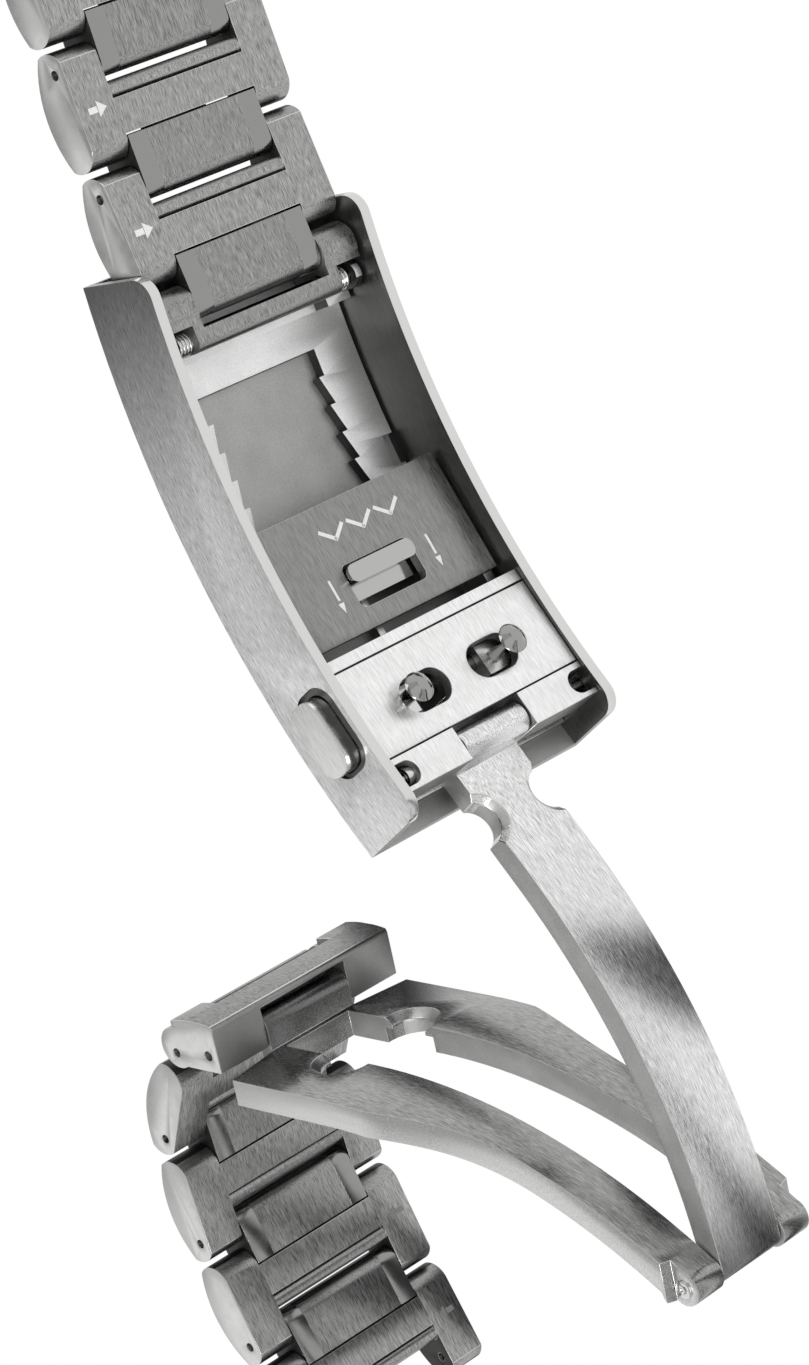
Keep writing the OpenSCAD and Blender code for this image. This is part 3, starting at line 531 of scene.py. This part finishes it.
class CLASP_OT_ends(bpy.types.Operator):
    """Finishes the two end links"""
    bl_idname = "clasp.ends"
    bl_label = "End links"

    def execute(self, context):
        sizes = context.scene.clasp_sizes
        cheek = polished("buffed_cheek_steel", colour="d6d6d5", roughness=0.26)
        edge = polished("buffed_rim_steel", roughness=0.22)
        # Painted shade: the joint faces of the end links are coloured a lighter dark than in the links
        dull = blasted("dull_end_steel", colour="a2a2a1")
        for node, slope in (("upper_end_link", UPPER_END_SLOPE), ("lower_end_link", LOWER_END_SLOPE)):
            grain = line_grain(slope, "end", "9a9a99")
            finished(node, sizes.link_edge * 1.2, link_faces(slope), [grain, cheek, edge, dull], edge_slot=2)
        return {"FINISHED"}


class CLASP_OT_links(bpy.types.Operator):
    """Finishes the links of the bracelet"""
    bl_idname = "clasp.links"
    bl_label = "Links"

    def execute(self, context):
        sizes = context.scene.clasp_sizes
        cheek = polished("buffed_cheek_steel", colour="d6d6d5", roughness=0.26)
        edge = polished("buffed_rim_steel", roughness=0.22)
        # Painted shade: the faces in the joints between a link's pieces are coloured dark
        dark = blasted("dull_joint_steel", colour="4a4a49")
        strip = polished("buffed_strip_steel", colour="929291", roughness=0.2)
        for link, slope in {**UPPER_SLOPES, **LOWER_SLOPES}.items():
            grain = line_grain(slope, "frame", "a4a4a3")
            centre = line_grain(slope, "tile", "989897")
            faces = link_faces(slope)
            finished(link + "_frame", sizes.link_edge, faces, [grain, cheek, edge, dark], edge_slot=2)
            # The tile's rounded edges get the same painted shade, as dark seams round it
            finished(link + "_tile", sizes.link_edge * 0.5, faces, [centre, cheek, dark, dark], edge_slot=2)
            finished(link + "_strips", sizes.link_edge * 0.5, faces, [strip, cheek, edge, dark], edge_slot=2)
        return {"FINISHED"}


def shown_as_paper(tree, path):
    """1 where the eye, a reflection or a clear material looks at the paper."""
    seen = path.outputs["Is Camera Ray"]
    for kind in ("Is Glossy Ray", "Is Transmission Ray"):
        seen = add(tree, "ShaderNodeMath", {0: seen, 1: path.outputs[kind]}, operation="MAXIMUM").outputs[0]
    return seen


def flag():
    """A dark card with soft edges, flat on the table, which only the steel sees: it gives it its dark bands."""
    bpy.ops.object.select_all(action="DESELECT")
    bpy.ops.mesh.primitive_plane_add(size=0.4, location=(0, 0, 0.0001))
    card = bpy.context.active_object
    card.name = "dark_card"
    bpy.ops.object.transform_apply(location=True)
    material, tree = new_material("soft_dark_card")
    place = add(tree, "ShaderNodeTexCoord").outputs["Object"]
    turned = add(tree, "ShaderNodeMapping", {
        "Vector": place, "Location": (CARD_SHIFT, 0, 0), "Rotation": (0, 0, math.radians(CARD_TURN)),
        "Scale": (CARD_BANDS,) * 3})
    axis = add(tree, "ShaderNodeSeparateXYZ", {"Vector": turned.outputs[0]})
    wave = add(tree, "ShaderNodeMath", {0: axis.outputs["X"]}, operation="SINE")
    soft = add(tree, "ShaderNodeMapRange", {
        "Value": wave.outputs[0], "From Min": -0.15, "From Max": 0.9, "To Min": 0.0, "To Max": 0.92},
        interpolation_type="SMOOTHSTEP")
    start = add(tree, "ShaderNodeSeparateXYZ", {"Vector": place})
    begun = add(tree, "ShaderNodeMapRange", {
        "Value": start.outputs["X"], "From Min": CARD_FADE_IN[0], "From Max": CARD_FADE_IN[1],
        "To Min": 0.0, "To Max": 1.0}, interpolation_type="SMOOTHSTEP")
    share = add(tree, "ShaderNodeMath", {0: soft.outputs[0], 1: begun.outputs[0]}, operation="MULTIPLY")
    felt = add(tree, "ShaderNodeEmission", {"Color": linear("202020"), "Strength": 1.0})
    clear = add(tree, "ShaderNodeBsdfTransparent")
    mix = add(tree, "ShaderNodeMixShader", {0: share.outputs[0], 1: clear.outputs[0], 2: felt.outputs[0]})
    add(tree, "ShaderNodeOutputMaterial", {"Surface": mix.outputs[0]})
    card.data.materials.append(material)
    card.visible_camera = card.visible_diffuse = card.visible_shadow = card.visible_transmission = False


def on_top(node, x_mm, z_mm):
    """The point of a node's wrist side over a place of the frame, and the way that it faces there."""
    mesh = NODES[node].data
    corners = [vertex.co for vertex in mesh.vertices]
    faces = BVHTree.FromPolygons(corners, [face.vertices[:] for face in mesh.polygons])
    place, normal, _, _ = faces.ray_cast(Vector((x_mm * MM, 0.06, z_mm * MM)), Vector((0, -1, 0)))
    if place is None:
        raise RuntimeError("no surface of %s under the mark" % node)
    return place, normal if normal.y > 0 else -normal


def mark(name, node, place, normal, ahead, strokes, finish):
    """Builds a thin mark from plates: each stroke is (corners, x, y, turn, length, width)."""
    bpy.ops.object.select_all(action="DESELECT")
    piece = None
    for corners, x, y, turn, length, width in strokes:
        if corners == 3:
            bpy.ops.mesh.primitive_circle_add(vertices=3, radius=1.0, fill_type="NGON")
        else:
            bpy.ops.mesh.primitive_plane_add(size=1.0)
        stroke = bpy.context.active_object
        turned = Matrix.Rotation(math.radians(turn), 4, "Z") @ Matrix.Diagonal((width, length, 1, 1))
        stroke.data.transform(Matrix.Translation((x, y, 0)) @ turned)
        bpy.ops.object.mode_set(mode="EDIT")
        bpy.ops.mesh.select_all(action="SELECT")
        bpy.ops.mesh.extrude_region_move(TRANSFORM_OT_translate={"value": (0, 0, MARK_THICKNESS)})
        bpy.ops.mesh.select_all(action="SELECT")
        bpy.ops.mesh.normals_make_consistent(inside=False)
        bpy.ops.object.mode_set(mode="OBJECT")
        if piece:
            piece.select_set(True)
            bpy.context.view_layer.objects.active = piece
            bpy.ops.object.join()
        else:
            piece = stroke
        select_only(piece)
    piece.name = name
    up = normal.normalized()
    front = (Vector(ahead) - up * up.dot(Vector(ahead))).normalized()
    side = front.cross(up)
    turn = Matrix((side, front, up)).transposed().to_4x4()
    piece.data.transform(Matrix.Translation(place + up * MARK_LIFT * MM) @ turn @ Matrix.Scale(MM, 4))
    piece.data.materials.clear()
    piece.data.materials.append(finish)
    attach(piece, BODY_OF[node])
    return piece


# A pointed head and a shaft, ahead along y, in millimetres
THIN_ARROW = ((3, 0, 0.75, 0, 0.5, 0.3), (4, 0, -0.45, 0, 1.5, 0.2))
BOLD_ARROW = ((3, 0, 0.3, 0, 0.5, 0.62), (4, 0, -0.38, 0, 0.75, 0.42))
CHEVRON = ((4, -0.52, 0, -52, 1.5, 0.28), (4, 0.52, 0, 52, 1.5, 0.28))


# Where the marks on the links are, from the pin along the link and across it, in millimetres
LINK_MARK_ALONG = 2.9
LINK_MARK_DROP = 0.98
NEAR_MARK_Z = 18.3
FAR_MARK_Z = 3.4
LINK_PITCH = 8.45


class CLASP_OT_marks(bpy.types.Operator):
    """Marks the slide cover with chevrons and arrows, and the links with the way their pins go out"""
    bl_idname = "clasp.marks"
    bl_label = "Marks"

    def execute(self, context):
        pale = etched("laser_mark_on_cover", "f4f4f3")
        for i in range(3):
            place, normal = on_top("slide_cover", -7.8, 13.1 - 2.6 * i)
            mark("cover_chevron_%d" % (i + 1), "slide_cover", place, normal, (1, 0, 0), CHEVRON, pale)
        for i, z in enumerate((15.5, 6.2)):
            place, normal = on_top("slide_cover", -3.9, z)
            mark("cover_arrow_%d" % (i + 1), "slide_cover", place, normal, (1, 0, 0), THIN_ARROW, pale)
        for link in ("upper1", "upper2"):
            joint = JOINT[link + "_turn"]["pos_m"]
            turn = math.radians(UPPER_SLOPES[link])
            x = joint[0] / MM + (LINK_MARK_ALONG - LINK_PITCH) * math.cos(turn) - LINK_MARK_DROP * math.sin(turn)
            place, normal = on_top(link + "_frame", x, NEAR_MARK_Z)
            mark(link + "_arrow", link + "_frame", place, normal, (0, 0, -1), BOLD_ARROW, pale)
        grey = etched("laser_mark_on_links", "8c8c8b")
        for link in ("lower3", "lower4"):
            joint = JOINT[link + "_turn"]["pos_m"]
            x = joint[0] / MM + LINK_PITCH - LINK_MARK_ALONG
            place, normal = on_top(link + "_frame", x, FAR_MARK_Z)
            mark(link + "_arrow", link + "_frame", place, normal, (0, 0, 1), BOLD_ARROW, grey)
        return {"FINISHED"}


class CLASP_OT_stage(bpy.types.Operator):
    """Lays the pale floor, and sets up the lamps, the sky and the camera"""
    bl_idname = "clasp.stage"
    bl_label = "Studio"

    def execute(self, context):
        scene = context.scene
        bpy.ops.object.select_all(action="DESELECT")
        bpy.ops.mesh.primitive_plane_add(size=3.0, location=(0, 0, -0.0002))
        floor = context.active_object
        floor.name = "floor"
        bpy.ops.object.transform_apply(location=True)
        material, tree = new_material("pale_paper")
        path = add(tree, "ShaderNodeLightPath")
        paper = add(tree, "ShaderNodeBsdfDiffuse", {"Color": linear("e8e8e8")})
        colour = list(scene.clasp_colours.paper) + [1]
        white = add(tree, "ShaderNodeEmission", {"Color": colour, "Strength": 1.0})
        seen = shown_as_paper(tree, path)
        mix = add(tree, "ShaderNodeMixShader", {0: seen, 1: paper.outputs[0], 2: white.outputs[0]})
        add(tree, "ShaderNodeOutputMaterial", {"Surface": mix.outputs[0]})
        floor.data.materials.append(material)
        flag()

        world = bpy.data.worlds.new("soft_studio")
        scene.world = world
        world.use_nodes = True
        tree = world.node_tree
        tree.nodes.clear()
        direction = add(tree, "ShaderNodeTexCoord").outputs["Generated"]
        sweep = add(tree, "ShaderNodeTexNoise", {"Vector": direction, "Scale": 1.6, "Detail": 0.0})
        tone = add(tree, "ShaderNodeMapRange", {
            "Value": sweep.outputs["Fac"], "From Min": 0.38, "From Max": 0.6, "To Min": 0.35, "To Max": 1.0})
        path = add(tree, "ShaderNodeLightPath")
        sky = add(tree, "ShaderNodeBackground", {"Color": tone.outputs[0], "Strength": 1.0})
        white = add(tree, "ShaderNodeBackground", {"Color": linear("ffffff"), "Strength": 1.0})
        mix = add(tree, "ShaderNodeMixShader", {
            0: path.outputs["Is Camera Ray"], 1: sky.outputs[0], 2: white.outputs[0]})
        add(tree, "ShaderNodeOutputWorld", {"Surface": mix.outputs[0]})

        for name, place, size, power in (("key", (0.25, 0.25, 0.35), 0.22, 1.0), ("fill", (-0.3, 0.1, 0.3), 0.3, 0.5)):
            light = bpy.data.lights.new(name, "AREA")
            light.size = size
            light.energy = power
            lamp = bpy.data.objects.new(name, light)
            scene.collection.objects.link(lamp)
            lamp.location = place
            lamp.rotation_euler = (Vector((0, 0, MIDDLE)) - Vector(place)).to_track_quat("-Z", "Y").to_euler()

        camera = bpy.data.objects.new("camera", bpy.data.cameras.new("camera"))
        scene.collection.objects.link(camera)
        right, down, forward = Vector(CAMERA_RIGHT), Vector(CAMERA_DOWN), Vector(CAMERA_FORWARD)
        turn = Matrix((right, -down, -forward)).transposed().to_4x4()
        camera.matrix_world = Matrix.Translation(CAMERA_AT) @ turn
        camera.data.lens = CAMERA_LENS
        camera.data.sensor_width = 36
        camera.data.sensor_height = 36
        camera.data.sensor_fit = "VERTICAL"
        camera.data.clip_start = 0.01
        camera.data.clip_end = 10
        scene.camera = camera
        scene.view_settings.view_transform = "Standard"
        return {"FINISHED"}


class CLASP_PT_panel(bpy.types.Panel):
    """Lists the steps of the clasp's finish"""
    bl_label = "Bracelet clasp"
    bl_idname = "CLASP_PT_panel"
    bl_space_type = "VIEW_3D"
    bl_region_type = "UI"
    bl_category = "Clasp"

    def draw(self, context):
        for group in (context.scene.clasp_sizes, context.scene.clasp_colours):
            for name in group.bl_rna.properties.keys():
                if name not in ("rna_type", "name"):
                    self.layout.prop(group, name)
        for operator in OPERATORS:
            self.layout.operator(operator.bl_idname)


OPERATORS = (CLASP_OT_case, CLASP_OT_latch, CLASP_OT_slide, CLASP_OT_arms, CLASP_OT_bars, CLASP_OT_ends,
             CLASP_OT_links, CLASP_OT_marks, CLASP_OT_stage)
CLASSES = (ClaspSizes, ClaspColours) + OPERATORS + (CLASP_PT_panel,)


def register():
    for item in CLASSES:
        bpy.utils.register_class(item)
    bpy.types.Scene.clasp_sizes = bpy.props.PointerProperty(type=ClaspSizes)
    bpy.types.Scene.clasp_colours = bpy.props.PointerProperty(type=ClaspColours)


def unregister():
    del bpy.types.Scene.clasp_colours
    del bpy.types.Scene.clasp_sizes
    for item in reversed(CLASSES):
        bpy.utils.unregister_class(item)


def main():
    register()
    for step in ("case", "latch", "slide", "arms", "bars", "ends", "links", "marks", "stage"):
        getattr(bpy.ops.clasp, step)()


if __name__ == "__main__":
    main()
